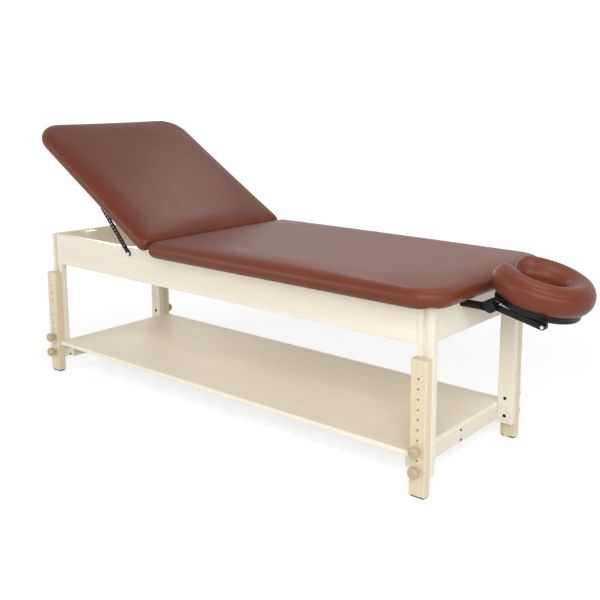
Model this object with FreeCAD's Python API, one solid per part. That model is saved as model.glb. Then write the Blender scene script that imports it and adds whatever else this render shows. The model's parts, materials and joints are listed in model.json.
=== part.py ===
import FreeCAD, Part

import math
import os

# A stationary wooden massage table: a frame on four legs of adjustable length, a long shelf,
# a fixed cushion, a lifting backrest on two ratchet stays, and a face cradle at the right end.
# Millimetres. +X runs to the cradle end, +Y to the back, +Z up. While the pieces are made, x is
# measured from the middle of the frame; at the end all are moved together, so that the origin lies
# on the floor under the middle of the whole part.

# Frame
frame_length = 1735.0
stance_width = 560.0
rail_top = 540.0
rail_height = 116.0
rail_thick = 24.0
apron_height = 103.0
crossbar_height = 62.0
edge_round = 2.5

# Legs
leg_width = 52.0
leg_thick = 24.0
leg_bottom = 55.0
groove_width = 18.0
groove_depth = 8.0
extension_thick = 30.0
extension_length = 388.0
extension_round = 3.5
extension_side_gap = 0.3
slide_clearance = 0.2
tongue_clearance = 0.3
index_pitch = 29.0
index_holes = 10
index_hole_radius = 3.6
lower_bolt_z = 80.0
bolt_spacing_pitches = 2
bolt_radius = 3.0
bolt_head_radius = 5.5
bolt_head_height = 3.0
dome_share = 0.6
bolt_clearance = 0.25
foot_inset = 3.0
foot_height = 6.0
foot_corner = 5.0
foot_round = 2.0

# Turned knobs
knob_radius = 16.5
knob_round = 8.0
knob_neck_radius = 9.5
knob_neck_length = 7.0
knob_length = 27.0
knob_bore_depth = 18.0
bolt_in_knob = 16.0
knob_gap = 0.3
turning_clearance = 0.05

# Shelf
shelf_top = 122.0
shelf_thick = 15.0
shelf_width = 536.0
shelf_end_gap = 0.3
stretcher_length = 480.0
stretcher_width = 38.5
stretcher_height = 46.0
bearer_width = 40.0
stretcher_bolt_inset = 7.5
stretcher_bolt_radius = 4.0
stretcher_bolt_proud = 1.5
stretcher_bolt_depth = 60.0

# Cushions and their plywood decks
cushion_width = 680.0
cushion_thick = 60.0
cushion_crown = 4.0
crown_run = 150.0
crown_steps = 3
left_overhang = 64.5
right_overhang = 60.5
backrest_length = 719.0
backrest_angle = 31.4
outer_corner_radius = 98.0
hinge_corner_radius = 24.0
least_corner_radius = 6.0
deck_thick = 12.0
deck_inset = 34.0
deck_gap = 0.3

# Hinges between the decks
cushion_gap = 8.0
hinge_spread = 170.0
hinge_width = 90.0
hinge_barrel_radius = 3.0
hinge_pin_radius = 1.5
hinge_leaf_thick = 1.5
hinge_leaf_reach = 58.0
hinge_leaf_gap = 0.3
knuckle_gap = 0.4

# Ratchet stays
stay_pivot_back = 187.0
stay_pivot_drop = 21.0
stay_anchor_along = 420.0
stay_anchor_drop = 30.0
stay_standoff = 0.3
stay_width = 16.0
stay_depth = 5.2
stay_wall = 1.2
stay_lip = 2.4
stay_play = 0.3
stay_strip_thick = 1.8
stay_channel_length = 210.0
stay_strip_start = 86.0
stay_hole_radius = 3.4
stay_hole_pitch = 14.0
stay_first_hole = 22.0
stay_bolt_radius = 4.0
stay_bolt_head_radius = 6.5
stay_bolt_head_height = 3.5
stay_nut_radius = 7.0
stay_nut_height = 5.0
stay_rivet_radius = 3.0
stay_rivet_head = 1.0
stay_rivet_head_radius = 5.0
bracket_thick = 2.5
bracket_length = 54.0
bracket_flange = 24.0
bracket_gap = 1.0
bracket_nose = 12.0

# Face cradle
socket_spacing = 216.0
socket_drop = 18.0
socket_depth = 60.0
rod_radius = 11.0
rod_clearance = 0.3
block_width = 44.0
block_depth = 45.0
block_height = 66.0
block_top_drop = 2.0
rod_inner_stop = 4.5
cradle_bar_start = 62.5
cradle_bar_depth = 22.0
cradle_bar_height = 24.0
cradle_bar_length = 228.0
axle_reach = 17.0
axle_rise = 7.0
cradle_axle_radius = 4.0
lug_thick = 11.0
lug_radius = 8.0
arm_thick = 8.0
arm_gap = 0.5
arm_half_height = 8.0
arm_length = 146.8
arm_slope = 13.0
tip_rivet_radius = 3.0
tip_rivet_head_radius = 5.0
tip_rivet_head = 1.5
cradle_knob_radius = 15.0
cradle_knob_length = 19.0
cradle_knob_ribs = 4
cradle_knob_rib_depth = 1.6
axle_in_knob = 13.0
head_setback = 67.0
head_rise = 44.0
head_slope = 15.0
platform_thick = 16.0
platform_outer = 122.0
platform_inner = 64.0
platform_lug_run = 100.0
chin_half_angle = 42.0
ring_radius = 99.5
ring_half_width = 45.0
ring_half_height = 44.2
ring_base_cut = 6.0

# Places that follow from the sizes above
half_length = frame_length / 2
extension_face = stance_width / 2
leg_face = extension_face - extension_thick
leg_inner = leg_face - leg_thick
leg_inner_x = half_length - leg_width
leg_x = half_length - leg_width / 2
apron_inner_x = half_length - rail_thick
bolt_heights = (lower_bolt_z, lower_bolt_z + bolt_spacing_pitches * index_pitch)
shelf_bottom = shelf_top - shelf_thick
stretcher_bottom = shelf_bottom - stretcher_height
stretcher_inner_x = leg_inner_x - stretcher_width
cushion_right_end = half_length + right_overhang
hinge_x = -half_length - left_overhang + backrest_length + cushion_gap / 2
hinge_z = rail_top + cushion_thick / 2
hinge_places = (-hinge_spread, 0.0, hinge_spread)
hinge_crossbar_x = hinge_x + hinge_leaf_reach + hinge_leaf_gap
middle_crossbar_x = (hinge_crossbar_x + apron_inner_x) / 2
stay_pivot_x = hinge_x - stay_pivot_back
stay_pivot_z = rail_top - stay_pivot_drop
stay_back = leg_face + stay_standoff
stay_face = stay_back + stay_depth
strip_face = stay_face - stay_wall - stay_play
strip_back = strip_face - stay_strip_thick
bracket_inner = stay_face + bracket_gap
socket_z = rail_top - socket_drop
socket_end = half_length - socket_depth
cradle_bar_x = half_length + cradle_bar_start
cradle_axle_x = cradle_bar_x + cradle_bar_depth + axle_reach
cradle_axle_z = socket_z + axle_rise
arm_inner = cradle_bar_length / 2 - arm_thick / 2
arm_outer = arm_inner + arm_thick

X_AXIS = FreeCAD.Vector(1, 0, 0)
Y_AXIS = FreeCAD.Vector(0, 1, 0)
Z_AXIS = FreeCAD.Vector(0, 0, 1)
hinge_point = FreeCAD.Vector(hinge_x, 0, hinge_z)
stay_pivot = FreeCAD.Vector(stay_pivot_x, 0, stay_pivot_z)
cradle_axle = FreeCAD.Vector(cradle_axle_x, 0, cradle_axle_z)

ENDS = {"left": -1, "right": 1}
SIDES = {"front": -1, "rear": 1}


def box(x0, x1, y0, y1, z0, z1):
    """A plain block between two corners."""
    return Part.makeBox(x1 - x0, y1 - y0, z1 - z0, FreeCAD.Vector(x0, y0, z0))


def rounded_loop(a0, a1, b0, b1, radii, place):
    """A rectangle with its own radius at each corner; place turns (a, b) into a point."""
    corners = ((a0, b0, 1, 1), (a1, b0, -1, 1), (a1, b1, -1, -1), (a0, b1, 1, -1))
    starts = ((0, 1), (1, 0), (0, 1), (1, 0))
    edges = []
    last = None
    first = None
    for (a, b, da, db), (along_a, along_b), r in zip(corners, starts, radii):
        centre = (a + da * r, b + db * r)
        begin = place(a + along_a * da * r, b + along_b * db * r)
        finish = place(a + along_b * da * r, b + along_a * db * r)
        diagonal = r * math.sqrt(0.5)
        middle = place(centre[0] - da * diagonal, centre[1] - db * diagonal)
        if last is not None:
            edges.append(Part.LineSegment(last, begin).toShape())
        else:
            first = begin
        edges.append(Part.Arc(begin, middle, finish).toShape())
        last = finish
    edges.append(Part.LineSegment(last, first).toShape())
    return Part.Wire(edges)


def bar(x0, x1, y0, y1, z0, z1, along, radius=edge_round):
    """A bar of wood whose long edges, along X, Y or Z, are rounded over."""
    radii = (radius,) * 4
    if along == "x":
        loop = rounded_loop(y0, y1, z0, z1, radii, lambda a, b: FreeCAD.Vector(x0, a, b))
        push = FreeCAD.Vector(x1 - x0, 0, 0)
    elif along == "y":
        loop = rounded_loop(x0, x1, z0, z1, radii, lambda a, b: FreeCAD.Vector(a, y0, b))
        push = FreeCAD.Vector(0, y1 - y0, 0)
    else:
        loop = rounded_loop(x0, x1, y0, y1, radii, lambda a, b: FreeCAD.Vector(a, b, z0))
        push = FreeCAD.Vector(0, 0, z1 - z0)
    return Part.Face(loop).extrude(push)


def rod(x, y, z, radius, length, axis):
    """A round rod that starts at a point and runs along an axis."""
    return Part.makeCylinder(radius, length, FreeCAD.Vector(x, y, z), axis)


def turned(profile, x, y, z, axis):
    """A turned piece: profile holds (radius, distance along the axis) points, closed on the axis."""
    points = [FreeCAD.Vector(r, 0, s) for r, s in profile]
    solid = Part.Face(Part.makePolygon(points + points[:1])).revolve(FreeCAD.Vector(), Z_AXIS, 360)
    turn = FreeCAD.Rotation(Z_AXIS, axis)
    solid.Placement = FreeCAD.Placement(FreeCAD.Vector(x, y, z), turn)
    return solid


def mirrored(shape):
    """The same piece on the other long side."""
    return shape.mirror(FreeCAD.Vector(), Y_AXIS)


def to_side(shape, side):
    """A piece that was made for the front (-Y), put on the named side."""
    return mirrored(shape) if side == "rear" else shape


def raised(shape):
    """A piece of the backrest, made lying flat, turned up to the angle it rests at."""
    shape.rotate(hinge_point, Y_AXIS, backrest_angle)
    return shape


def swung(point, centre, degrees):
    """Where a point goes when it is turned about a line through centre along Y."""
    return FreeCAD.Rotation(Y_AXIS, degrees).multVec(point - centre) + centre


pieces = {}


# Frame of rails, aprons and crossbars
def long_rail():
    rail = bar(-leg_inner_x, leg_inner_x, -leg_face, -leg_inner, rail_top - rail_height, rail_top, "x")
    hole = rod(stay_pivot_x, -leg_face, stay_pivot_z, stay_bolt_radius + bolt_clearance, leg_thick, Y_AXIS)
    return rail.cut(hole)


def end_apron(end):
    x0, x1 = sorted((end * apron_inner_x, end * half_length))
    apron = bar(x0, x1, -leg_inner, leg_inner, rail_top - apron_height, rail_top, "y")
    return apron.cut(socket_bores(end))


def socket_bores(end):
    """The pair of blind round sockets for the cradle's rods, in an apron and the blocks behind it."""
    start = end * socket_end
    bores = [rod(start, y, socket_z, rod_radius + rod_clearance, socket_depth, X_AXIS * end)
             for y in (-socket_spacing / 2, socket_spacing / 2)]
    return Part.makeCompound(bores)


def socket_blocks(end):
    x0, x1 = sorted((end * apron_inner_x, end * (apron_inner_x - block_depth)))
    top = rail_top - block_top_drop
    blocks = []
    for y in (-socket_spacing / 2, socket_spacing / 2):
        block = bar(x0, x1, y - block_width / 2, y + block_width / 2, top - block_height, top, "x")
        blocks.append(block.cut(socket_bores(end)))
    return Part.makeCompound(blocks)


def crossbar(x):
    return bar(x, x + rail_thick, -leg_inner, leg_inner, rail_top - crossbar_height, rail_top, "y")


for side in SIDES:
    pieces[side + "_rail"] = to_side(long_rail(), side)
for name, end in ENDS.items():
    pieces[name + "_apron"] = end_apron(end)
    pieces[name + "_cradle_sockets"] = socket_blocks(end)
pieces["hinge_crossbar"] = crossbar(hinge_crossbar_x)
pieces["middle_crossbar"] = crossbar(middle_crossbar_x)


# Legs, with their sliding extensions, feet, bolts and knobs
def upper_leg(end):
    x = end * leg_x
    leg = bar(x - leg_width / 2, x + leg_width / 2, -leg_face, -leg_inner, leg_bottom, rail_top, "z")
    groove = box(x - groove_width / 2, x + groove_width / 2, -leg_face, -leg_face + groove_depth,
                 leg_bottom, rail_top)
    holes = [rod(x, -leg_face, z, bolt_radius + bolt_clearance, leg_thick, Y_AXIS) for z in bolt_heights]
    return leg.cut(Part.makeCompound([groove] + holes))


def leg_extension(end):
    x = end * leg_x
    back = -leg_face - slide_clearance
    top = foot_height + extension_length
    half = leg_width / 2 - extension_side_gap
    post = bar(x - half, x + half, -extension_face, back, foot_height, top, "z", extension_round)
    half_tongue = groove_width / 2 - tongue_clearance
    tongue_depth = groove_depth - tongue_clearance
    tongue = box(x - half_tongue, x + half_tongue, back, -leg_face + tongue_depth, foot_height, top)
    heights = [lower_bolt_z + n * index_pitch for n in range(index_holes)]
    bore_length = extension_thick + groove_depth
    holes = [rod(x, -extension_face, z, index_hole_radius, bore_length, Y_AXIS) for z in heights]
    return post.fuse(tongue).cut(Part.makeCompound(holes)).removeSplitter()


def foot(end):
    """A pad a little smaller than the extension's end, rounded at its corners and its lower edge."""
    x = end * leg_x
    half = leg_width / 2 - foot_inset
    pad = bar(x - half, x + half, -extension_face + foot_inset, -leg_face - foot_inset, 0, foot_height,
              "z", foot_corner)
    lower_edge = [edge for edge in pad.Edges if edge.BoundBox.ZMax < foot_round]
    return pad.makeFillet(foot_round, lower_edge)


def leg_bolt(end, z):
    length = bolt_head_height + leg_thick + extension_thick + knob_gap + bolt_in_knob
    profile = [(0, 0), (bolt_head_radius * dome_share, 0), (bolt_head_radius, bolt_head_height * dome_share),
               (bolt_head_radius, bolt_head_height), (bolt_radius, bolt_head_height), (bolt_radius, length),
               (0, length)]
    return turned(profile, end * leg_x, -leg_inner + bolt_head_height, z, -Y_AXIS)


def wooden_knob(end, z):
    """A mushroom knob: a straight neck, a disc rounded over on both sides and a blind bore for the bolt."""
    head = rod(0, 0, knob_neck_length, knob_radius, knob_length - knob_neck_length, Z_AXIS)
    rims = [edge for edge in head.Edges if edge.Closed and len(edge.Vertexes) == 1]
    head = head.makeFillet(knob_round, rims)
    knob = head.fuse(rod(0, 0, 0, knob_neck_radius, knob_length / 2, Z_AXIS))
    knob = knob.cut(rod(0, 0, 0, bolt_radius + turning_clearance, knob_bore_depth, Z_AXIS)).removeSplitter()
    place = FreeCAD.Vector(end * leg_x, -extension_face - knob_gap, z)
    knob.Placement = FreeCAD.Placement(place, FreeCAD.Rotation(Z_AXIS, -Y_AXIS))
    return knob


bolts = []
for side in SIDES:
    for name, end in ENDS.items():
        corner = side + "_" + name
        pieces["leg_" + corner] = to_side(upper_leg(end), side)
        pieces["extension_" + corner] = to_side(leg_extension(end), side)
        pieces["foot_" + corner] = to_side(foot(end), side)
        for level, z in zip(("lower", "upper"), bolt_heights):
            pieces["knob_" + corner + "_" + level] = to_side(wooden_knob(end, z), side)
            bolts.append(to_side(leg_bolt(end, z), side))
pieces["leg_bolts"] = Part.makeCompound(bolts)


# Shelf on two flat stretchers and a bearer along the middle
def stretcher_bolt(x, y, z, axis):
    return rod(x, y, z, stretcher_bolt_radius, stretcher_bolt_depth + stretcher_bolt_proud, axis)


def stretcher_bolt_set(end):
    """Bolts in pairs: in both ends of a stretcher, and through it into the bearer."""
    heights = (stretcher_bolt_inset + stretcher_bottom, shelf_bottom - stretcher_bolt_inset)
    middle_x = end * (leg_inner_x - stretcher_width / 2)
    face_x = end * (leg_inner_x + stretcher_bolt_proud)
    end_y = stretcher_length / 2 + stretcher_bolt_proud
    found = []
    for z in heights:
        found.append(stretcher_bolt(middle_x, -end_y, z, Y_AXIS))
        found.append(stretcher_bolt(middle_x, end_y, z, -Y_AXIS))
        found.append(rod(face_x, 0, z, stretcher_bolt_radius,
                         stretcher_width + stretcher_bolt_depth + stretcher_bolt_proud, X_AXIS * -end))
    return found


shelf_half = leg_inner_x - shelf_end_gap
shelf_side = shelf_width / 2
all_stretcher_bolts = Part.makeCompound(stretcher_bolt_set(-1) + stretcher_bolt_set(1))
pieces["shelf"] = bar(-shelf_half, shelf_half, -shelf_side, shelf_side, shelf_bottom, shelf_top, "x")
for name, end in ENDS.items():
    x0, x1 = sorted((end * stretcher_inner_x, end * leg_inner_x))
    stretcher = bar(x0, x1, -stretcher_length / 2, stretcher_length / 2, stretcher_bottom, shelf_bottom, "y")
    pieces[name + "_stretcher"] = stretcher.cut(all_stretcher_bolts)
bearer = bar(-stretcher_inner_x, stretcher_inner_x, -bearer_width / 2, bearer_width / 2,
             stretcher_bottom, shelf_bottom, "x")
pieces["shelf_bearer"] = bearer.cut(all_stretcher_bolts)
pieces["stretcher_bolts"] = all_stretcher_bolts


# Cushions with full round edges and a gentle crown, each over a plywood deck
def slab_loop(x0, x1, inset, z, left_radius, right_radius):
    half = cushion_width / 2 - inset
    left = max(left_radius - inset, least_corner_radius)
    right = max(right_radius - inset, least_corner_radius)
    return rounded_loop(x0 + inset, x1 - inset, -half, half, (left, right, right, left),
                        lambda a, b: FreeCAD.Vector(a, b, z))


def cushion(x0, x1, left_radius, right_radius):
    """A slab with a full round edge all round, and a low crown that rises in a few flat steps."""
    edge = cushion_thick / 2
    top = rail_top + cushion_thick
    round_edge = [(edge, rail_top)]
    for degrees in range(-75, 76, 25):
        a = math.radians(degrees)
        round_edge.append((edge * (1 - math.cos(a)), hinge_z + edge * math.sin(a)))
    round_edge.append((edge, top))
    crown = []
    for step in range(crown_steps + 1):
        share = step / crown_steps
        rise = cushion_crown * (1 - (1 - share) ** 2)
        crown.append((edge + crown_run * share, top + rise))
    slab = Part.makeLoft([slab_loop(x0, x1, inset, z, left_radius, right_radius)
                          for inset, z in round_edge], True, False)
    hill = Part.makeLoft([slab_loop(x0, x1, inset, z, left_radius, right_radius)
                          for inset, z in crown], True, True)
    return slab.fuse(hill)


def deck(x0, x1, left_radius, right_radius, grow=0.0):
    loop = slab_loop(x0, x1, deck_inset - grow, rail_top, left_radius, right_radius)
    return Part.Face(loop).extrude(Z_AXIS * deck_thick)


main_plan = (hinge_x + cushion_gap / 2, cushion_right_end, hinge_corner_radius, outer_corner_radius)
back_plan = (hinge_x - cushion_gap / 2 - backrest_length, hinge_x - cushion_gap / 2,
             outer_corner_radius, hinge_corner_radius)
pieces["main_deck"] = deck(*main_plan)
pieces["main_cushion"] = cushion(*main_plan).cut(deck(*main_plan, grow=deck_gap))
pieces["backrest_deck"] = raised(deck(*back_plan))
pieces["backrest_cushion"] = raised(cushion(*back_plan).cut(deck(*back_plan, grow=deck_gap)))


# Hinges that stand in the gap between the cushions, with leaves bent under the decks
def hinge_leaf(y, direction, spans):
    """One leaf: barrels on the pin, a web down through the gap and a flange under the deck."""
    near = hinge_x + direction * hinge_leaf_gap
    far = near + direction * hinge_leaf_thick
    x0, x1 = sorted((near, far))
    foot_z = rail_top - hinge_leaf_thick
    web = box(x0, x1, y - hinge_width / 2, y + hinge_width / 2, foot_z,
              hinge_z - hinge_barrel_radius - hinge_leaf_gap)
    x0, x1 = sorted((near, hinge_x + direction * hinge_leaf_reach))
    flange = box(x0, x1, y - hinge_width / 2, y + hinge_width / 2, foot_z, rail_top)
    leaf = web.fuse(flange)
    x0, x1 = sorted((near, far))
    for y0, y1 in spans:
        leaf = leaf.fuse(box(x0, x1, y0, y1, foot_z, hinge_z))
        leaf = leaf.fuse(rod(hinge_x, y0, hinge_z, hinge_barrel_radius, y1 - y0, Y_AXIS))
        leaf = leaf.cut(rod(hinge_x, y0, hinge_z, hinge_pin_radius + turning_clearance, y1 - y0, Y_AXIS))
    return leaf


def hinge_spans(y):
    """Three knuckles side by side: the outer two on the fixed leaf, the middle one on the moving leaf."""
    third = hinge_width / 3
    start = y - hinge_width / 2
    edges = [start + n * third for n in range(4)]
    spans = [(edges[n] + knuckle_gap / 2, edges[n + 1] - knuckle_gap / 2) for n in range(3)]
    return (spans[0], spans[2]), (spans[1],)


fixed_leaves = []
moving_leaves = []
pins = []
for y in hinge_places:
    fixed_spans, moving_spans = hinge_spans(y)
    fixed_leaves.append(hinge_leaf(y, 1, fixed_spans))
    moving_leaves.append(raised(hinge_leaf(y, -1, moving_spans)))
    pins.append(rod(hinge_x, y - hinge_width / 2, hinge_z, hinge_pin_radius, hinge_width, Y_AXIS))
pieces["hinge_fixed_leaves"] = Part.makeCompound(fixed_leaves)
pieces["hinge_moving_leaves"] = Part.makeCompound(moving_leaves)
pieces["hinge_pins"] = Part.makeCompound(pins)

# Ratchet stays: a perforated channel on the rail and a perforated strip that slides in it
anchor_flat = FreeCAD.Vector(hinge_x - stay_anchor_along, 0, rail_top - stay_anchor_drop)
anchor = swung(anchor_flat, hinge_point, backrest_angle)
stay_length = (anchor - stay_pivot).Length
stay_angle = math.degrees(math.atan2(anchor.z - stay_pivot.z, stay_pivot.x - anchor.x))


def along_stay(shape):
    """A stay piece made level, pointing to -X from its pivot, turned to its slope."""
    shape.rotate(stay_pivot, Y_AXIS, stay_angle)
    return shape


def row_of_holes(first, last, y0, y1):
    count = int((last - first) / stay_hole_pitch) + 1
    places = [stay_pivot_x - first - n * stay_hole_pitch for n in range(count)]
    return [rod(x, y0, stay_pivot_z, stay_hole_radius, y1 - y0, Y_AXIS) for x in places]


def stay_channel():
    """A channel with turned-in lips, open to the rail, with a round end at the pivot."""
    half = stay_width / 2
    inner = half - stay_wall
    lip = half - stay_lip
    end_x = stay_pivot_x - stay_channel_length
    outside = box(end_x, stay_pivot_x, -stay_face, -stay_back, stay_pivot_z - half, stay_pivot_z + half)
    outside = outside.fuse(rod(stay_pivot_x, -stay_face, stay_pivot_z, half, stay_depth, Y_AXIS))
    room = box(end_x, stay_pivot_x, -stay_face + stay_wall, -stay_back - stay_wall,
               stay_pivot_z - inner, stay_pivot_z + inner)
    round_room = rod(stay_pivot_x, -stay_face + stay_wall, stay_pivot_z, inner,
                     stay_depth - stay_wall, Y_AXIS)
    mouth = box(end_x, stay_pivot_x, -stay_back - stay_wall, -stay_back,
                stay_pivot_z - lip, stay_pivot_z + lip)
    bolt_hole = rod(stay_pivot_x, -stay_face, stay_pivot_z, stay_bolt_radius + turning_clearance,
                    stay_depth, Y_AXIS)
    last = stay_channel_length - stay_hole_pitch / 2
    holes = row_of_holes(stay_first_hole, last, -stay_face, -stay_face + stay_wall)
    return along_stay(outside.cut(Part.makeCompound([room, round_room, mouth, bolt_hole] + holes)))


def stay_strip():
    half = stay_width / 2 - stay_wall - stay_play
    start_x = stay_pivot_x - stay_strip_start
    end_x = stay_pivot_x - stay_length
    strip = box(end_x, start_x, -strip_face, -strip_back, stay_pivot_z - half, stay_pivot_z + half)
    strip = strip.fuse(rod(end_x, -strip_face, stay_pivot_z, half, stay_strip_thick, Y_AXIS))
    first = stay_first_hole
    while first < stay_strip_start + stay_hole_radius + stay_wall:
        first += stay_hole_pitch
    holes = row_of_holes(first, stay_length - stay_hole_pitch, -strip_face, -strip_back)
    eye = rod(end_x, -strip_face, stay_pivot_z, stay_rivet_radius, stay_strip_thick, Y_AXIS)
    return along_stay(strip.cut(Part.makeCompound(holes + [eye])))


def stay_rivet():
    """The pivot at the top of the strip: its head is behind, its tail ends short of the bracket."""
    tail = bracket_inner - stay_play - strip_face
    length = stay_rivet_head + stay_strip_thick + tail
    profile = [(0, 0), (stay_rivet_head_radius, 0), (stay_rivet_head_radius, stay_rivet_head),
               (stay_rivet_radius, stay_rivet_head), (stay_rivet_radius, length), (0, length)]
    end_x = stay_pivot_x - stay_length
    return along_stay(turned(profile, end_x, -strip_back + stay_rivet_head, stay_pivot_z, -Y_AXIS))


def stay_pivot_bolt():
    """A domed bolt through the stay and the rail, with a nut inside."""
    head = stay_bolt_head_height
    clamp = stay_face + stay_play - leg_inner
    length = head + clamp + stay_nut_height
    profile = [(0, 0), (stay_bolt_head_radius * dome_share, 0), (stay_bolt_head_radius, head * dome_share),
               (stay_bolt_head_radius, head), (stay_bolt_radius, head), (stay_bolt_radius, head + clamp),
               (stay_nut_radius, head + clamp), (stay_nut_radius, length), (0, length)]
    return turned(profile, stay_pivot_x, -stay_face - stay_play - head, stay_pivot_z, Y_AXIS)


def stay_bracket():
    """An angle under the backrest's deck: a flange, and a cheek that narrows to the stay's pivot."""
    middle = hinge_x - stay_anchor_along
    flange = box(middle - bracket_length / 2, middle + bracket_length / 2,
                 -bracket_inner - bracket_flange, -bracket_inner, rail_top - bracket_thick, rail_top)
    nose_z = rail_top - stay_anchor_drop
    top = rail_top - bracket_thick
    corners = [FreeCAD.Vector(middle - bracket_length / 2, 0, top),
               FreeCAD.Vector(middle - bracket_nose, 0, nose_z),
               FreeCAD.Vector(middle + bracket_nose, 0, nose_z),
               FreeCAD.Vector(middle + bracket_length / 2, 0, top)]
    outline = Part.makePolygon(corners + corners[:1])
    cheek = Part.Face(outline).extrude(Y_AXIS * bracket_thick)
    nose = rod(middle, 0, nose_z, bracket_nose, bracket_thick, Y_AXIS)
    cheek = cheek.fuse(nose)
    cheek.translate(Y_AXIS * (-bracket_inner - bracket_thick))
    return raised(flange.fuse(cheek).removeSplitter())


for side in SIDES:
    pieces["stay_channel_" + side] = to_side(stay_channel(), side)
    pieces["stay_strip_" + side] = to_side(stay_strip(), side)
    pieces["stay_rivet_" + side] = to_side(stay_rivet(), side)
pieces["stay_pivot_bolts"] = Part.makeCompound([to_side(stay_pivot_bolt(), side) for side in SIDES])
pieces["stay_brackets"] = Part.makeCompound([to_side(stay_bracket(), side) for side in SIDES])


# Face cradle: rods in the end sockets, a bar with lugs, two arms, a tilting platform and its cushion
def both_sides(shape):
    return Part.makeCompound([shape, mirrored(shape)])


rod_start = socket_end + rod_inner_stop
cradle_tip = swung(cradle_axle + X_AXIS * arm_length, cradle_axle, arm_slope)
head_x = cradle_tip.x - head_setback
head_z = cradle_tip.z + head_rise
head_centre = FreeCAD.Vector(head_x, 0, head_z)
lug_outer = arm_inner - arm_gap
lug_inner = lug_outer - lug_thick
knob_start = arm_outer + arm_gap


def cradle_rod():
    return rod(rod_start, -socket_spacing / 2, socket_z, rod_radius, cradle_bar_x - rod_start, X_AXIS)


def cradle_bar():
    """A cross bar with a lug near each end that holds the axle."""
    z0 = socket_z - cradle_bar_height / 2
    z1 = socket_z + cradle_bar_height / 2
    half = lug_outer
    body = bar(cradle_bar_x, cradle_bar_x + cradle_bar_depth, -half, half, z0, z1, "y")
    lug = rod(cradle_axle_x, -lug_outer, cradle_axle_z, lug_radius, lug_thick, Y_AXIS)
    neck = box(cradle_bar_x + cradle_bar_depth / 2, cradle_axle_x, -lug_outer, -lug_inner,
               cradle_axle_z - lug_radius, cradle_axle_z + lug_radius)
    hole = rod(cradle_axle_x, -half, cradle_axle_z, cradle_axle_radius, 2 * half, Y_AXIS)
    lugs = both_sides(lug.fuse(neck))
    return body.fuse(list(lugs.Solids)).cut(hole).removeSplitter()


def cradle_arm():
    """A flat arm with round ends, from the axle down to the tip rivet."""
    x0 = cradle_axle_x
    x1 = cradle_axle_x + arm_length
    arm = box(x0, x1, -arm_outer, -arm_inner,
              cradle_axle_z - arm_half_height, cradle_axle_z + arm_half_height)
    for x in (x0, x1):
        arm = arm.fuse(rod(x, -arm_outer, cradle_axle_z, arm_half_height, arm_thick, Y_AXIS))
    axle_hole = rod(x0, -arm_outer, cradle_axle_z, cradle_axle_radius + turning_clearance, arm_thick, Y_AXIS)
    rivet_hole = rod(x1, -arm_outer, cradle_axle_z, tip_rivet_radius, arm_thick, Y_AXIS)
    arm = arm.cut(Part.makeCompound([axle_hole, rivet_hole])).removeSplitter()
    arm.rotate(cradle_axle, Y_AXIS, arm_slope)
    return arm


def tip_rivet():
    """A headed rivet through an arm and the platform's lug beside it."""
    length = tip_rivet_head + arm_outer - lug_inner
    profile = [(0, 0), (tip_rivet_head_radius, 0), (tip_rivet_head_radius, tip_rivet_head),
               (tip_rivet_radius, tip_rivet_head), (tip_rivet_radius, length), (0, length)]
    return turned(profile, cradle_tip.x, -arm_outer - tip_rivet_head, cradle_tip.z, Y_AXIS)


def open_ring(inner, outer, z0, z1):
    """A flat ring about the head's centre, open towards the table, with round ends."""
    height = Z_AXIS * (z1 - z0)
    ring = Part.makeCylinder(outer, z1 - z0, FreeCAD.Vector(0, 0, z0))
    ring = ring.cut(Part.makeCylinder(inner, z1 - z0, FreeCAD.Vector(0, 0, z0)))
    reach = 2 * outer
    half = math.radians(chin_half_angle)
    mouth = Part.makePolygon([
        FreeCAD.Vector(0, 0, z0), FreeCAD.Vector(-reach * math.cos(half), -reach * math.sin(half), z0),
        FreeCAD.Vector(-reach * math.cos(half), reach * math.sin(half), z0), FreeCAD.Vector(0, 0, z0)])
    ring = ring.cut(Part.Face(mouth).extrude(height))
    middle = (inner + outer) / 2
    for sign in (-1, 1):
        tip = FreeCAD.Vector(-middle * math.cos(half), sign * middle * math.sin(half), z0)
        ring = ring.fuse(Part.makeCylinder((outer - inner) / 2, z1 - z0, tip))
    return ring.removeSplitter()


def on_head(shape):
    """A piece made level about the origin, put on the head at its slope."""
    seat = FreeCAD.Placement(head_centre, FreeCAD.Rotation(Y_AXIS, head_slope))
    shape.Placement = seat.multiply(shape.Placement)
    return shape


def inside_plate(x):
    """The point above a lug's outer face that lies in the middle of the sloping plate's thickness."""
    slope = math.radians(head_slope)
    z = head_z - platform_thick / 2 / math.cos(slope) - (x - head_x) * math.tan(slope)
    return FreeCAD.Vector(x, -lug_outer, z)


def cradle_platform():
    """An open ring of plate, with a long lug under each side that reaches down to the arm's tip."""
    plate = on_head(open_ring(platform_inner, platform_outer, -platform_thick, 0))
    half = arm_half_height
    corners = [FreeCAD.Vector(cradle_tip.x + half, -lug_outer, cradle_tip.z),
               inside_plate(cradle_tip.x + half), inside_plate(cradle_tip.x - platform_lug_run),
               FreeCAD.Vector(cradle_tip.x - half, -lug_outer, cradle_tip.z)]
    lug = Part.Face(Part.makePolygon(corners + corners[:1])).extrude(Y_AXIS * lug_thick)
    lug = lug.fuse(rod(cradle_tip.x, -lug_outer, cradle_tip.z, half, lug_thick, Y_AXIS))
    hole = rod(cradle_tip.x, -lug_outer, cradle_tip.z, tip_rivet_radius + turning_clearance,
               lug_thick, Y_AXIS)
    lugs = both_sides(lug.cut(hole))
    return plate.fuse(list(lugs.Solids)).removeSplitter()


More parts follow.
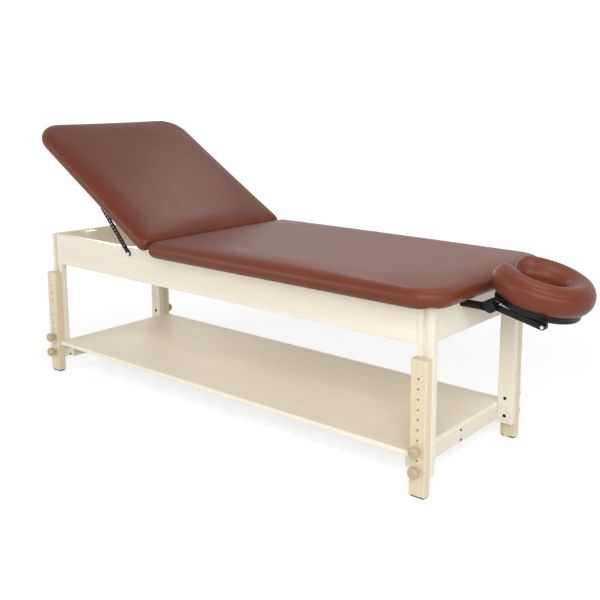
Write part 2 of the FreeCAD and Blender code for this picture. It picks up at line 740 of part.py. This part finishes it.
def cradle_cushion():
    """A full round horseshoe pad with a flat base, open towards the table."""
    centre = FreeCAD.Vector(ring_radius, 0, 0)
    top = FreeCAD.Vector(ring_radius, 0, ring_half_height)
    bottom = FreeCAD.Vector(ring_radius, 0, -ring_half_height)
    side = FreeCAD.Vector(ring_radius + ring_half_width, 0, 0)
    section = Part.Ellipse(side, top, centre) if ring_half_width > ring_half_height else \
        Part.Ellipse(top, side, centre)
    round_face = Part.Face(Part.Wire([section.toShape()]))
    round_face.rotate(FreeCAD.Vector(), Z_AXIS, 180 + chin_half_angle)
    pad = round_face.revolve(FreeCAD.Vector(), Z_AXIS, 360 - 2 * chin_half_angle)
    pad = Part.makeSolid(pad) if pad.ShapeType == "Shell" else pad
    ball = Part.makeSphere(ring_half_width)
    squash = FreeCAD.Matrix()
    squash.scale(1, 1, ring_half_height / ring_half_width)
    ball = ball.transformGeometry(squash)
    for sign in (-1, 1):
        angle = math.radians(180 + sign * chin_half_angle)
        tip = ball.copy()
        tip.translate(FreeCAD.Vector(ring_radius * math.cos(angle), ring_radius * math.sin(angle), 0))
        pad = pad.fuse(tip)
    reach = ring_radius + ring_half_width
    floor = -ring_half_height + ring_base_cut
    below = box(-reach, reach, -reach, reach, bottom.z, floor)
    pad = pad.cut(below)
    pad.translate(Z_AXIS * -floor)
    return on_head(pad)


def cradle_knob():
    """A locking knob on the axle's end, grooved round between its ribs."""
    rib = cradle_knob_length / (2 * cradle_knob_ribs - 1)
    bore = cradle_axle_radius + turning_clearance
    profile = [(bore, 0)]
    for n in range(2 * cradle_knob_ribs - 1):
        radius = cradle_knob_radius - (cradle_knob_rib_depth if n % 2 else 0)
        profile += [(radius, n * rib), (radius, (n + 1) * rib)]
    profile.append((0, cradle_knob_length))
    bottom = cradle_knob_length - rib
    profile += [(0, bottom), (bore, bottom)]
    return turned(profile, cradle_axle_x, -knob_start, cradle_axle_z, -Y_AXIS)


axle_end = knob_start + axle_in_knob
pieces["cradle_rods"] = both_sides(cradle_rod())
pieces["cradle_bar"] = cradle_bar()
pieces["cradle_axle"] = rod(cradle_axle_x, -axle_end, cradle_axle_z, cradle_axle_radius,
                            axle_end + arm_outer + arm_gap, Y_AXIS)
for side in SIDES:
    pieces["cradle_arm_" + side] = to_side(cradle_arm(), side)
pieces["cradle_tip_rivets"] = both_sides(tip_rivet())
pieces["cradle_platform"] = cradle_platform()
pieces["cradle_cushion"] = cradle_cushion()
pieces["cradle_knob"] = cradle_knob()

# The origin goes under the middle of the whole part, from its left legs to the cradle's far end
far_end = pieces["cradle_cushion"].optimalBoundingBox().XMax
middle_x = (far_end - half_length) / 2

os.makedirs("parts", exist_ok=True)
for name, shape in pieces.items():
    shape.translate(X_AXIS * -middle_x)
    shape.exportStep("parts/" + name + ".step")
print(len(pieces), "pieces; middle of the part is", round(middle_x, 3), "mm right of the frame's middle")
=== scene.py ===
import json
import math

import bmesh
import bpy
from mathutils import Matrix, Vector
from mathutils.bvhtree import BVHTree


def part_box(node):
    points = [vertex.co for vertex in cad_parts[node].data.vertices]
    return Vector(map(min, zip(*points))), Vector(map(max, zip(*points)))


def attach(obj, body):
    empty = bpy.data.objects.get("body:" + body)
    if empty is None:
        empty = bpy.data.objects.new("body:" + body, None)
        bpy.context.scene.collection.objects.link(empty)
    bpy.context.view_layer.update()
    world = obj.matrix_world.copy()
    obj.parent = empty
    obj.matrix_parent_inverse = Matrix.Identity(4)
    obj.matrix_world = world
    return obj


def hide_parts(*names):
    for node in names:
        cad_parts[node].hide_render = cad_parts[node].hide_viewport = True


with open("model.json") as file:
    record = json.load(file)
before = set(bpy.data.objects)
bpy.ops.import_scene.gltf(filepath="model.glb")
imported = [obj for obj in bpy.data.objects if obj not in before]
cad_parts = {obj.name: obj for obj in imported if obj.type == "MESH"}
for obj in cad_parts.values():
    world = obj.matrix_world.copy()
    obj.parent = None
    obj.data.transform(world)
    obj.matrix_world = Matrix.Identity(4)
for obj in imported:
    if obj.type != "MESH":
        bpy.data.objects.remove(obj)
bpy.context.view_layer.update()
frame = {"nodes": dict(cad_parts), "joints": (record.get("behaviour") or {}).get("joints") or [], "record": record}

# Sizes of the cushions as the solids have them: metres, radians, and degrees for the chin opening
CUSHION_HALF_WIDTH = 0.340
CUSHION_THICK = 0.060
CUSHION_GAP = 0.008
BACKREST_LENGTH = 0.719
BACKREST_ANGLE = math.radians(31.4)
OUTER_CORNER = 0.098
HINGE_CORNER = 0.024
LEAST_CORNER = 0.006
DECK_INSET = 0.034
DECK_THICK = 0.012
HEAD_FROM_TIP = (-0.067, 0.0, 0.044)
HEAD_SLOPE = math.radians(15.0)
RING_RADIUS = 0.0995
RING_HALF_WIDTH = 0.045
RING_HEIGHT = 0.0824
RING_BASE_CUT = 0.006
CHIN_HALF_ANGLE = 42

# How the covers are blown up
INFLATE_FRAMES = 18
COVER_MASS = 0.35
SHEAR_DIVISOR = 3
BENDING_DIVISOR = 10

# The two flat pads: steps in degrees round their edges, how they are blown up, and room for the decks
EDGE_STEP = 15
SLAB_VOXEL = 0.008
SLAB_TOP_SLACK = 0.002
SLAB_SIDE_SLACK = 0.0015
SLAB_PRESSURE = 0.35
SLAB_STIFFNESS = 40.0
SLAB_LIMIT = 0.009
SLAB_HELD_HEIGHT = 0.012
UNDERSIDE_HEIGHT = 0.010
DECK_GAP = 0.0006

# The horseshoe pad: steps in degrees round its tube, then how it is blown up
RING_STEP = 6
CAP_STEP = 17
CAP_STATIONS = 6
SECTION_STEP = 10
RING_VOXEL = 0.004
RING_SLACK = 0.001
RING_PRESSURE = 150.0
RING_STIFFNESS = 2.0
RING_LIMIT = 0.003
RING_HELD_HEIGHT = 0.006

# The horseshoe's upper side: where its crest is, from -1 inside to 1 outside, and its dip inward
CREST_PLACE = 0.35
DISH_DROP = 0.55
DISH_POWER = 1.3
DISH_EDGE = 6

# The horseshoe's sewing, with angles in degrees: a seam and welt outside, gathers inside its closed end
SEAM_HEIGHT = 0.064
SEAM_WIDTH = 0.004
SEAM_DEPTH = 0.0020
GATHER_DEPTH = 0.0022
GATHER_REACH = 28
GATHER_WAVES = 20
GATHER_ONSET = 1.6
WELT_RADIUS = 0.0014
WELT_REACH = 124
WELT_STEP = 4
WELT_SECTION_STEP = 45

# Colours as linear red, green and blue
VINYL = (0.152, 0.0357, 0.0163)
VINYL_DARK = (0.128, 0.0285, 0.0127)
CREAM = (0.800, 0.780, 0.700)
CREAM_DARK = (0.740, 0.700, 0.590)
# The shelf's grain runs between two tones that are paler than the frame's wood. The extra paleness is painted
# light, standing in for light falling on the shelf under the top.
SHELF_CREAM_AND_PAINTED_LIGHT = (0.915, 0.880, 0.770)
SHELF_DARK_AND_PAINTED_LIGHT = (0.870, 0.820, 0.690)
CREAM_WARM = (0.710, 0.630, 0.465)
CREAM_WARM_DARK = (0.640, 0.555, 0.390)
TAN = (0.500, 0.425, 0.285)
TAN_DARK = (0.400, 0.325, 0.205)
PLY = (0.66, 0.50, 0.31)
PLY_DARK = (0.55, 0.39, 0.22)
BLACKENED = (0.014, 0.013, 0.013)
BLACKENED_DARK = (0.007, 0.007, 0.007)
PLATED = (0.74, 0.74, 0.76)
PLATED_DARK = (0.62, 0.62, 0.65)
MOULDED = (0.010, 0.010, 0.011)
MOULDED_DARK = (0.006, 0.006, 0.007)
RUBBER = (0.012, 0.012, 0.012)
RUBBER_DARK = (0.008, 0.008, 0.008)

# Floor and room: the floor glows less round the table, so that its shadow shows there
FLOOR_HALF_SIZE = 30.0
FLOOR_DROP = 0.0005
FLOOR_WHITE = (0.80, 0.80, 0.80, 1)
FLOOR_SHADOWED = (0.50, 0.53, 0.58, 1)
GLOW_NEAR = 0.66
GLOW_FAR = 0.95
GLOW_NEAR_RADIUS = 1.2
GLOW_FAR_RADIUS = 3.6
HORIZON_LIGHT = 0.95
OVERHEAD_LIGHT = 0.0
ROOM_TINT = (1.0, 0.89, 0.74, 1)
WHITE = (1.0, 1.0, 1.0, 1)

# The camera, in pixels of the photograph, metres and radians, with its sensor in millimetres
PICTURE = 600.0
FOCAL_PIXELS = 862.08
CENTRE_PIXEL = (338.03, 233.06)
SENSOR = 36.0
YAW, PITCH, ROLL = 0.6686, -0.1731, 0.0047
CAMERA_FROM_FRAME = Vector((2.0337, -2.1379, 1.1193))


def joint(name):
    return next(j for j in frame["joints"] if j["name"] == name)


rail_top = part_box("front_rail")[1][2]
hinge = Vector(joint("backrest_tilt")["pos_m"])


# Node helpers
class Nodes:
    """The node tree of a material or world, with short calls to add nodes and join their sockets."""

    def __init__(self, owner):
        owner.use_nodes = True
        self.owner = owner
        self.tree = owner.node_tree

    def add(self, kind, **settings):
        node = self.tree.nodes.new(kind)
        for key, value in settings.items():
            if key in node.inputs:
                node.inputs[key].default_value = value
            else:
                setattr(node, key, value)
        return node

    def join(self, source, target):
        self.tree.links.new(source, target)

    def coordinates(self, scale=(1, 1, 1)):
        place = self.add("ShaderNodeTexCoord")
        mapping = self.add("ShaderNodeMapping", Scale=scale)
        self.join(place.outputs["Object"], mapping.inputs["Vector"])
        return mapping.outputs["Vector"]

    def noise(self, scale, detail=4.0, stretch=(1, 1, 1), roughness=0.55):
        node = self.add("ShaderNodeTexNoise", Scale=scale, Detail=detail, Roughness=roughness)
        self.join(self.coordinates(stretch), node.inputs["Vector"])
        return node.outputs["Fac"]

    def tones(self, value, dark, light, start, end):
        """A colour that goes from dark to light as the value goes from start to end."""
        node = self.add("ShaderNodeValToRGB")
        for element, place, colour in zip(node.color_ramp.elements, (start, end), (dark, light)):
            element.position = place
            element.color = (*colour, 1)
        self.join(value, node.inputs["Fac"])
        return node.outputs["Color"]

    def spread(self, value, low, high, start=0.0, end=1.0):
        """A number that goes from low to high as the value goes from start to end."""
        settings = {"From Min": start, "From Max": end, "To Min": low, "To Max": high}
        node = self.add("ShaderNodeMapRange", **settings)
        self.join(value, node.inputs["Value"])
        return node.outputs["Result"]

    def bump(self, height, strength, distance, before=None):
        node = self.add("ShaderNodeBump", Strength=strength, Distance=distance)
        self.join(height, node.inputs["Height"])
        if before:
            self.join(before, node.inputs["Normal"])
        return node.outputs["Normal"]

    def surface(self, inputs):
        """Sets inputs of the shader, each to a plain number or to another node's output."""
        shader = self.tree.nodes["Principled BSDF"]
        for name, value in inputs.items():
            if isinstance(value, bpy.types.NodeSocket):
                self.join(value, shader.inputs[name])
            else:
                shader.inputs[name].default_value = value

    def show(self, seen, lighting, output):
        """Shows one shader to the camera, mirrors and clear things, and lights all else by another."""
        path = self.add("ShaderNodeLightPath")
        directly = path.outputs["Is Camera Ray"]
        for name in ("Is Glossy Ray", "Is Transmission Ray"):
            either = self.add("ShaderNodeMath", operation="MAXIMUM")
            self.join(directly, either.inputs[0])
            self.join(path.outputs[name], either.inputs[1])
            directly = either.outputs["Value"]
        choose = self.add("ShaderNodeMixShader")
        self.join(directly, choose.inputs["Fac"])
        self.join(lighting, choose.inputs[1])
        self.join(seen, choose.inputs[2])
        self.join(choose.outputs["Shader"], self.tree.nodes[output].inputs["Surface"])


def new_material(name):
    return Nodes(bpy.data.materials.new(name))


# Materials
def vinyl_material():
    """Brown upholstery vinyl: fine pebbled grain, a little cloudiness and a soft sheen."""
    n = new_material("brown_vinyl")
    cloud = n.noise(scale=7.0, detail=5.0)
    pebbles = n.add("ShaderNodeTexVoronoi", Scale=620.0, feature="SMOOTH_F1")
    n.join(n.coordinates(), pebbles.inputs["Vector"])
    grain = n.bump(pebbles.outputs["Distance"], strength=0.25, distance=0.0005)
    waves = n.noise(scale=24.0, detail=3.0)
    n.surface({
        "Base Color": n.tones(cloud, VINYL_DARK, VINYL, start=0.30, end=0.70),
        "Normal": n.bump(waves, strength=0.10, distance=0.004, before=grain),
        "Roughness": n.spread(n.noise(scale=40.0), low=0.32, high=0.42),
        "Specular IOR Level": 0.22,
    })
    return n.owner


def wood_material(name, along, light, dark, roughness=0.36, coat=0.15, specular=0.5):
    """Pale lacquered wood: long faint grain along one axis, over slow changes of tone."""
    n = new_material(name)
    grain_stretch = 0.05
    fibre_share = 0.55
    stretch = [1.0, 1.0, 1.0]
    stretch["xyz".index(along)] = grain_stretch
    fibre = n.noise(scale=95.0, detail=6.0, stretch=stretch, roughness=0.6)
    band = n.noise(scale=16.0, detail=3.0, stretch=stretch)
    both = n.add("ShaderNodeMath", operation="MULTIPLY_ADD")
    n.join(fibre, both.inputs[0])
    both.inputs[1].default_value = fibre_share
    n.join(n.spread(band, low=0.0, high=1 - fibre_share), both.inputs[2])
    n.surface({
        "Base Color": n.tones(both.outputs["Value"], dark, light, start=0.30, end=0.62),
        "Roughness": n.spread(fibre, low=roughness - 0.05, high=roughness + 0.08),
        "Normal": n.bump(fibre, strength=0.10, distance=0.0006),
        "Coat Weight": coat,
        "Coat Roughness": 0.30,
        "Specular IOR Level": specular,
    })
    return n.owner


def steel_material(name, light, dark, roughness, metallic, specular=0.5):
    """Plated or blackened steel with fine handling marks."""
    n = new_material(name)
    marks = n.noise(scale=180.0, detail=6.0)
    n.surface({
        "Base Color": n.tones(marks, dark, light, start=0.35, end=0.65),
        "Roughness": n.spread(marks, low=roughness - 0.06, high=roughness + 0.10),
        "Normal": n.bump(n.noise(scale=900.0, detail=3.0), strength=0.05, distance=0.0002),
        "Metallic": metallic,
        "Specular IOR Level": specular,
    })
    return n.owner


def plastic_material(name, light, dark, roughness):
    """Black moulded plastic or rubber with a fine spark texture."""
    n = new_material(name)
    spark = n.noise(scale=1400.0, detail=2.0)
    n.surface({
        "Base Color": n.tones(n.noise(scale=30.0), dark, light, start=0.35, end=0.65),
        "Normal": n.bump(spark, strength=0.15, distance=0.0002),
        "Roughness": n.spread(n.noise(scale=60.0), low=roughness - 0.05, high=roughness + 0.08),
        "Specular IOR Level": 0.2,
    })
    return n.owner


vinyl = vinyl_material()
cream_wood = {axis: wood_material("cream_wood_" + axis, axis, CREAM, CREAM_DARK) for axis in "xyz"}
extension_wood = wood_material("extension_wood", "z", CREAM_WARM, CREAM_WARM_DARK)
knob_wood = wood_material("knob_wood", "y", TAN, TAN_DARK, roughness=0.42)
slot_materials = {
    "vinyl": vinyl,
    # The shelf's paler wood is painted light, standing in for light falling on it under the top.
    "shelf_board": wood_material(
        "shelf_wood_and_painted_light", "x", SHELF_CREAM_AND_PAINTED_LIGHT, SHELF_DARK_AND_PAINTED_LIGHT, roughness=0.55, coat=0.0, specular=0.15),
    "plywood": wood_material("plywood", "x", PLY, PLY_DARK, roughness=0.6),
    "dark_steel": steel_material(
        "dark_steel", BLACKENED, BLACKENED_DARK, roughness=0.40, metallic=0.0, specular=0.15),
    "bright_steel": steel_material("bright_steel", PLATED, PLATED_DARK, roughness=0.25, metallic=1.0),
    "black_plastic": plastic_material("black_plastic", MOULDED, MOULDED_DARK, roughness=0.33),
    "foot_rubber": plastic_material("foot_rubber", RUBBER, RUBBER_DARK, roughness=0.70),
}


def node_material(name, slot):
    """The material of a solid: by its slot, or for wood by what it is and how its grain runs."""
    if slot != "wood":
        return slot_materials[slot]
    if name.startswith("knob_"):
        return knob_wood
    if name.startswith("extension_"):
        return extension_wood
    if name.startswith("leg_"):
        return cream_wood["z"]
    if name.endswith(("apron", "crossbar", "stretcher")):
        return cream_wood["y"]
    return cream_wood["x"]


for entry in frame["record"]["subparts"]:
    solid = frame["nodes"][entry["node"]]
    solid.data.materials.clear()
    solid.data.materials.append(node_material(entry["node"], entry["material_slot"]))


# Mesh helpers
def skin_between(rings):
    """A closed mesh over rings of equal length, capped at both ends."""
    made = bmesh.new()
    rows = [[made.verts.new(p) for p in ring] for ring in rings]
    count = len(rows[0])
    for low, high in zip(rows, rows[1:]):
        for k in range(count):
            made.faces.new((low[k], low[(k + 1) % count], high[(k + 1) % count], high[k]))
    made.faces.new(reversed(rows[0]))
    made.faces.new(rows[-1])
    bmesh.ops.recalc_face_normals(made, faces=made.faces)
    return made


def new_object(name, made):
    mesh = bpy.data.meshes.new(name)
    made.to_mesh(mesh)
    made.free()
    obj = bpy.data.objects.new(name, mesh)
    bpy.context.scene.collection.objects.link(obj)
    return obj


def bake(obj):
    """Applies all modifiers of an object to its mesh."""
    graph = bpy.context.evaluated_depsgraph_get()
    mesh = bpy.data.meshes.new_from_object(obj.evaluated_get(graph))
    old = obj.data
    obj.modifiers.clear()
    obj.data = mesh
    bpy.data.meshes.remove(old)


def remesh(obj, voxel):
    """Gives an object an even mesh of small squares, and smooths it a little."""
    step = obj.modifiers.new("Voxels", "REMESH")
    step.mode = "VOXEL"
    step.voxel_size = voxel
    bake(obj)
    smooth = obj.modifiers.new("Smooth", "SMOOTH")
    smooth.iterations = 4
    smooth.factor = 0.5
    bake(obj)


def inflate(obj, held, pressure, stiffness, limit):
    """Blows the cover up as cloth round its filling; held says which points keep their place."""
    rest = [v.co.copy() for v in obj.data.vertices]
    group = obj.vertex_groups.new(name="held")
    group.add([k for k, p in enumerate(rest) if held(p)], 1.0, "REPLACE")
    cloth = obj.modifiers.new("Cloth", "CLOTH")
    settings = cloth.settings
    settings.quality = 4
    settings.mass = COVER_MASS
    settings.tension_stiffness = stiffness
    settings.compression_stiffness = stiffness
    settings.shear_stiffness = stiffness / SHEAR_DIVISOR
    settings.bending_stiffness = stiffness / BENDING_DIVISOR
    settings.use_pressure = True
    settings.uniform_pressure_force = pressure
    settings.vertex_group_mass = "held"
    settings.effector_weights.gravity = 0
    cloth.point_cache.frame_start = 1
    cloth.point_cache.frame_end = INFLATE_FRAMES
    scene = bpy.context.scene
    for step in range(1, INFLATE_FRAMES + 1):
        scene.frame_set(step)
    bake(obj)
    scene.frame_set(1)
    for vertex, start in zip(obj.data.vertices, rest):
        move = vertex.co - start
        if move.length > limit:
            vertex.co = start + move * (limit / move.length)
    obj.vertex_groups.clear()


def shade_smooth(obj):
    for face in obj.data.polygons:
        face.use_smooth = True


def finish_pad(obj, body, node):
    """Covers a pad in vinyl, rounds its mesh, and has it stand for a solid and ride on a body."""
    shade_smooth(obj)
    obj.data.materials.clear()
    obj.data.materials.append(vinyl)
    rounder = obj.modifiers.new("Rounder", "SUBSURF")
    rounder.levels = 1
    rounder.render_levels = 1
    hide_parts(node)
    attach(obj, body)


# Flat pads of the fixed top and the backrest
def rounded_outline(x0, x1, inset, radii, steps=10):
    """Points round a rectangle whose left and right corners have their own radii."""
    half = CUSHION_HALF_WIDTH - inset
    left, right = (max(r - inset, LEAST_CORNER) for r in radii)
    corners = ((x1 - inset, half, right, 0), (x0 + inset, half, left, 90),
               (x0 + inset, -half, left, 180), (x1 - inset, -half, right, 270))
    points = []
    for x, y, r, start in corners:
        cx = x - math.copysign(r, x - (x0 + x1) / 2)
        cy = y - math.copysign(r, y)
        for k in range(steps + 1):
            a = math.radians(start + 90 * k / steps)
            points.append((cx + r * math.cos(a), cy + r * math.sin(a)))
    return points


def slab_cushion(name, x0, x1, radii):
    """A flat-bottomed pad: round edges, a low crown, and room for its plywood deck below."""
    edge = CUSHION_THICK / 2
    middle = rail_top + edge
    lower = SLAB_TOP_SLACK
    rings = []
    for degrees in range(-90, 91, EDGE_STEP):
        a = math.radians(degrees)
        inset = edge - (edge - SLAB_SIDE_SLACK) * math.cos(a)
        z = middle + edge * math.sin(a) - lower * max(0.0, math.sin(a))
        rings.append([(x, y, z) for x, y in rounded_outline(x0, x1, inset, radii)])
    pad = new_object(name, skin_between(rings))
    remesh(pad, SLAB_VOXEL)
    held_below = rail_top + SLAB_HELD_HEIGHT
    inflate(pad, lambda p: p.z < held_below, SLAB_PRESSURE, SLAB_STIFFNESS, SLAB_LIMIT)
    inner = CUSHION_HALF_WIDTH - DECK_INSET
    for vertex in pad.data.vertices:
        p = vertex.co
        under = p.z < rail_top + UNDERSIDE_HEIGHT
        if under and abs(p.y) < inner and x0 + DECK_INSET < p.x < x1 - DECK_INSET:
            p.z = rail_top + DECK_THICK + DECK_GAP
    return pad


main_low, main_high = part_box("main_cushion")
main_pad = slab_cushion("main_pad", main_low[0], main_high[0], (HINGE_CORNER, OUTER_CORNER))
finish_pad(main_pad, "frame", "main_cushion")

back_end = hinge.x - CUSHION_GAP / 2
back_start = back_end - BACKREST_LENGTH
back_pad = slab_cushion("backrest_pad", back_start, back_end, (OUTER_CORNER, HINGE_CORNER))
raised = Matrix.Rotation(BACKREST_ANGLE, 4, "Y")
back_pad.data.transform(Matrix.Translation(hinge) @ raised @ Matrix.Translation(-hinge))
finish_pad(back_pad, "backrest", "backrest_cushion")


# Horseshoe pad of the face cradle, made level about its own middle
def ring_top(across):
    """Height of the pad's upper side, 1 at its crest, for a place from -1 inside to 1 outside."""
    if across > CREST_PLACE:
        beyond = (across - CREST_PLACE) / (1 - CREST_PLACE)
        return math.sqrt(1 - beyond ** 2)
    inward = (CREST_PLACE - across) / (1 + CREST_PLACE)
    return (1 - DISH_DROP * inward ** DISH_POWER) * math.sqrt(1 - inward ** DISH_EDGE)


def ring_sections(half_width, half_height):
    """Rings of points round the horseshoe's tube, from one round tip to the other."""
    reach = 180 - CHIN_HALF_ANGLE
    caps = [math.radians(CAP_STEP * k) for k in range(CAP_STATIONS)]
    stations = [(-reach, cap) for cap in reversed(caps)]
    for degrees in range(RING_STEP - reach, reach, RING_STEP):
        stations.append((degrees, 0.0))
    stations += [(reach, cap) for cap in caps]
    floor_height = RING_BASE_CUT - half_height
    rings = []
    for degrees, cap in stations:
        turn = math.radians(degrees)
        outward = Vector((math.cos(turn), math.sin(turn), 0))
        onward = Vector((-math.sin(turn), math.cos(turn), 0)) * math.copysign(1, degrees)
        centre = outward * RING_RADIUS + onward * half_width * math.sin(cap)
        ring = []
        for step in range(0, 360, SECTION_STEP):
            a = math.radians(step)
            across = math.cos(a)
            lift = ring_top(across) if 0 < step < 180 else math.sin(a)
            rise = max(half_height * math.cos(cap) * lift, floor_height) - floor_height
            beside = outward * half_width * math.cos(cap) * across
            ring.append(centre + beside + Vector((0, 0, rise)))
        rings.append(ring)
    return rings


def shape_ring(point):
    """The seam round the outside of the horseshoe, and the gathers inside its closed end."""
    flat = Vector((point.x, point.y, 0))
    outward = flat.normalized()
    beyond = flat.length - RING_RADIUS
    turn = math.degrees(math.atan2(point.y, point.x))
    if beyond > 0:
        near = (point.z - SEAM_HEIGHT) / SEAM_WIDTH
        return point - outward * SEAM_DEPTH * math.exp(-near * near)
    fade = math.exp(-(turn / GATHER_REACH) ** 2) * min(1.0, -beyond / RING_HALF_WIDTH * GATHER_ONSET)
    return point + outward * GATHER_DEPTH * fade * math.cos(math.radians(turn * GATHER_WAVES))


def ring_cushion():
    """The pad itself, blown up and then sewn."""
    small = RING_SLACK
    half_width = RING_HALF_WIDTH - small
    half_height = (RING_HEIGHT + RING_BASE_CUT) / 2 - small / 2
    pad = new_object("cradle_pad", skin_between(ring_sections(half_width, half_height)))
    remesh(pad, RING_VOXEL)
    inflate(pad, lambda p: p.z < RING_HELD_HEIGHT, RING_PRESSURE, RING_STIFFNESS, RING_LIMIT)
    for vertex in pad.data.vertices:
        vertex.co = shape_ring(vertex.co)
    return pad


def ring_welt(pad):
    """A thin sewn welt along the seam, laid on the pad's shoulder from tip to tip."""
    points = [v.co for v in pad.data.vertices]
    skin = BVHTree.FromPolygons(points, [f.vertices for f in pad.data.polygons])
    rings = []
    for degrees in range(-WELT_REACH, WELT_REACH + 1, WELT_STEP):
        turn = math.radians(degrees)
        outward = Vector((math.cos(turn), math.sin(turn), 0))
        outside = outward * 2 * RING_RADIUS + Vector((0, 0, SEAM_HEIGHT))
        centre = skin.ray_cast(outside, -outward)[0]
        ring = []
        for step in range(0, 360, WELT_SECTION_STEP):
            a = math.radians(step)
            around = outward * math.cos(a) + Vector((0, 0, math.sin(a)))
            ring.append(centre + around * WELT_RADIUS)
        rings.append(ring)
    return new_object("cradle_welt", skin_between(rings))


cradle_pad = ring_cushion()
cradle_welt = ring_welt(cradle_pad)
head = Vector(joint("cradle_head_tilt")["pos_m"]) + Vector(HEAD_FROM_TIP)
head_place = Matrix.Translation(head) @ Matrix.Rotation(HEAD_SLOPE, 4, "Y")
cradle_pad.data.transform(head_place)
finish_pad(cradle_pad, "cradle_head", "cradle_cushion")
cradle_welt.data.transform(head_place)
cradle_welt.data.materials.append(vinyl)
shade_smooth(cradle_welt)
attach(cradle_welt, "cradle_head")


# Floor and light
def floor_material():
    """Plain white floor that shows as white and keeps the object's soft shadow."""
    n = new_material("white_floor")
    n.tree.nodes.remove(n.tree.nodes["Principled BSDF"])
    plain = n.add("ShaderNodeBsdfDiffuse", Color=FLOOR_WHITE)
    shadowed = n.add("ShaderNodeBsdfDiffuse", Color=FLOOR_SHADOWED)
    glow = n.add("ShaderNodeEmission")
    place = n.add("ShaderNodeNewGeometry")
    away = n.add("ShaderNodeVectorMath", operation="LENGTH")
    n.join(place.outputs["Position"], away.inputs[0])
    strength = n.spread(away.outputs["Value"], GLOW_NEAR, GLOW_FAR, GLOW_NEAR_RADIUS, GLOW_FAR_RADIUS)
    n.join(strength, glow.inputs["Strength"])
    both = n.add("ShaderNodeAddShader")
    n.join(shadowed.outputs["BSDF"], both.inputs[0])
    n.join(glow.outputs["Emission"], both.inputs[1])
    n.show(both.outputs["Shader"], plain.outputs["BSDF"], "Material Output")
    return n.owner


def studio_world():
    """A white backdrop, in a room that is bright round the horizon and dim overhead."""
    n = Nodes(bpy.data.worlds.new("studio"))
    room = n.tree.nodes["Background"]
    room.inputs["Color"].default_value = ROOM_TINT
    direction = n.add("ShaderNodeTexCoord")
    split = n.add("ShaderNodeSeparateXYZ")
    n.join(direction.outputs["Generated"], split.inputs["Vector"])
    n.join(n.spread(split.outputs["Z"], HORIZON_LIGHT, OVERHEAD_LIGHT), room.inputs["Strength"])
    backdrop = n.add("ShaderNodeBackground", Color=WHITE, Strength=1.0)
    n.show(backdrop.outputs["Background"], room.outputs["Background"], "World Output")
    return n.owner


def area_lamp(name, place, target, size, watts):
    """A soft box at one point that faces another."""
    data = bpy.data.lights.new(name, "AREA")
    data.shape = "RECTANGLE"
    data.size, data.size_y = size
    data.energy = watts
    lamp = bpy.data.objects.new(name, data)
    lamp.visible_camera = False
    lamp.location = place
    lamp.rotation_euler = (Vector(target) - Vector(place)).to_track_quat("-Z", "Y").to_euler()
    bpy.context.scene.collection.objects.link(lamp)


floor_mesh = bmesh.new()
bmesh.ops.create_grid(floor_mesh, x_segments=2, y_segments=2, size=FLOOR_HALF_SIZE)
floor = new_object("floor", floor_mesh)
floor.location.z = -FLOOR_DROP
floor.data.materials.append(floor_material())

# Two large soft boxes in front, and four smaller ones for the right end and the sheen on the vinyl
area_lamp("key", place=(2.2, -2.5, 2.2), target=(0.3, 0.0, 0.40), size=(2.2, 1.8), watts=72)
area_lamp("fill", place=(-1.9, -2.9, 1.2), target=(-0.3, 0.0, 0.40), size=(1.4, 1.2), watts=26)
area_lamp("back", place=(-0.75, 1.00, 1.95), target=(-0.50, 0.0, 0.65), size=(0.5, 0.4), watts=2.8)
area_lamp("over", place=(1.05, 0.05, 2.1), target=(0.95, 0.0, 0.5), size=(0.8, 0.8), watts=8)
area_lamp("side", place=(3.0, -0.9, 1.3), target=(0.6, 0.0, 0.4), size=(1.0, 0.9), watts=14)
area_lamp("low_back", place=(-3.0, 1.9, 1.1), target=(-0.3, 0.0, 0.6), size=(1.0, 0.7), watts=12)

bpy.context.scene.world = studio_world()
bpy.context.scene.view_settings.view_transform = "Standard"

# The camera stands where the photograph was taken from
left_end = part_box("left_apron")[0][0]
right_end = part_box("right_apron")[1][0]
frame_middle = Vector(((left_end + right_end) / 2, 0, 0))
level = math.cos(PITCH)
forward = Vector((-math.sin(YAW) * level, math.cos(YAW) * level, math.sin(PITCH)))
right = Vector((math.cos(YAW), math.sin(YAW), 0))
up = right.cross(forward)
side = right * math.cos(ROLL) + up * math.sin(ROLL)
top = up * math.cos(ROLL) - right * math.sin(ROLL)
lens = bpy.data.cameras.new("camera")
lens.sensor_width = SENSOR
lens.lens = FOCAL_PIXELS / PICTURE * SENSOR
lens.shift_x = (PICTURE / 2 - CENTRE_PIXEL[0]) / PICTURE
lens.shift_y = (CENTRE_PIXEL[1] - PICTURE / 2) / PICTURE
camera = bpy.data.objects.new("camera", lens)
turn = Matrix((side, top, -forward)).transposed().to_4x4()
camera.matrix_world = Matrix.Translation(frame_middle + CAMERA_FROM_FRAME) @ turn
bpy.context.scene.collection.objects.link(camera)
bpy.context.scene.camera = camera
